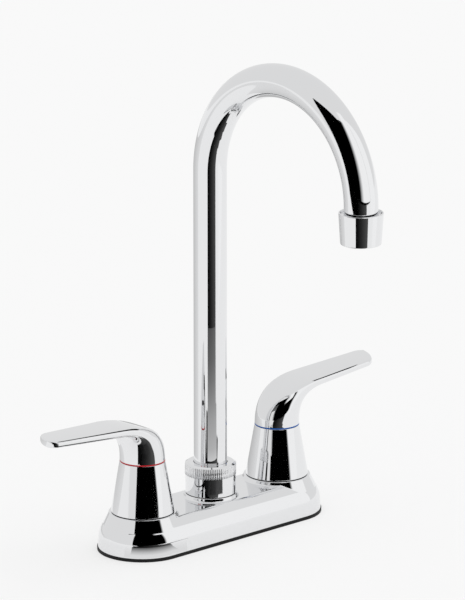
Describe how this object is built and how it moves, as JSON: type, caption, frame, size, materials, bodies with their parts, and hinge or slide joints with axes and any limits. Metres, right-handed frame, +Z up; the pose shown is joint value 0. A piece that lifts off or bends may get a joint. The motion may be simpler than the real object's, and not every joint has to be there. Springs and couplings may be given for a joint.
{
  "type": "gooseneck bar faucet",
  "caption": "Centreset bar faucet with a swivelling gooseneck spout, knurled spout nut, aerator, conical skirts and flat lever handles on an oval base.",
  "frame": {"origin": "centre of the gasket's underside, on the spout's turning axis, so the deck is the plane z = 0", "axes": "+Z up along the spout riser, -Y towards the user and the outlet, -X the hot valve, +X the cold valve"},
  "size_m": [0.2474, 0.1553, 0.3227],
  "materials": {
    "chrome_base": "polished chrome plate on the base shell",
    "chrome_spout": "polished chrome plate on the spout tube",
    "chrome_trim": "polished chrome plate on skirts, levers, nut and aerator shell",
    "gasket_rubber": "soft black rubber",
    "seal_rubber": "smooth black rubber seals",
    "cast_brass": "machined brass casting",
    "ceramic": "ground white ceramic",
    "white_plastic": "satin white plastic",
    "black_plastic": "moulded black plastic",
    "stainless": "plain stainless steel",
    "steel_black": "black oxide steel",
    "index_red": "glossy red plastic",
    "index_blue": "glossy blue plastic"
  },
  "bodies": {
    "base": {"escutcheon": "chrome_base", "base_gasket": "gasket_rubber", "waterway_body": "cast_brass", "spout_nut": "chrome_trim", "lower_glide_washer": "white_plastic", "upper_glide_washer": "white_plastic", "hot_lock_nut": "cast_brass", "hot_bonnet_nut": "cast_brass", "hot_skirt": "chrome_trim", "hot_cartridge_body": "white_plastic", "hot_seat_seal": "seal_rubber", "hot_fixed_disc": "ceramic", "hot_mounting_washer": "stainless", "hot_mounting_nut": "black_plastic", "cold_lock_nut": "cast_brass", "cold_bonnet_nut": "cast_brass", "cold_skirt": "chrome_trim", "cold_cartridge_body": "white_plastic", "cold_seat_seal": "seal_rubber", "cold_fixed_disc": "ceramic", "cold_mounting_washer": "stainless", "cold_mounting_nut": "black_plastic"},
    "spout": {"spout_tube": "chrome_spout", "spout_ferrule": "cast_brass", "spout_o_rings": "seal_rubber", "outlet_fitting": "chrome_trim", "aerator_shell": "chrome_trim", "aerator_washer": "seal_rubber", "aerator_insert": "white_plastic", "aerator_flow_disc": "black_plastic", "aerator_screens": "stainless"},
    "hot_handle": {"hot_lever": "chrome_trim", "hot_index_ring": "index_red", "hot_spline_adapter": "white_plastic", "hot_set_screw": "steel_black", "hot_stem": "cast_brass", "hot_moving_disc": "ceramic", "hot_stem_o_ring": "seal_rubber", "hot_stem_clip": "stainless"},
    "cold_handle": {"cold_lever": "chrome_trim", "cold_index_ring": "index_blue", "cold_spline_adapter": "white_plastic", "cold_set_screw": "steel_black", "cold_stem": "cast_brass", "cold_moving_disc": "ceramic", "cold_stem_o_ring": "seal_rubber", "cold_stem_clip": "stainless"}
  },
  "joints": [
    {"name": "spout_swivel", "type": "hinge", "parent": "base", "child": "spout", "pos_m": [0, 0, 0], "axis": [0, 0, 1], "continuous": true},
    {"name": "hot_handle_turn", "type": "hinge", "parent": "base", "child": "hot_handle", "pos_m": [-0.0508, 0, 0], "axis": [0, 0, 1], "range_deg": [0, 90]},
    {"name": "cold_handle_turn", "type": "hinge", "parent": "base", "child": "cold_handle", "pos_m": [0.0508, 0, 0], "axis": [0, 0, 1], "range_deg": [-90, 0]}
  ]
}
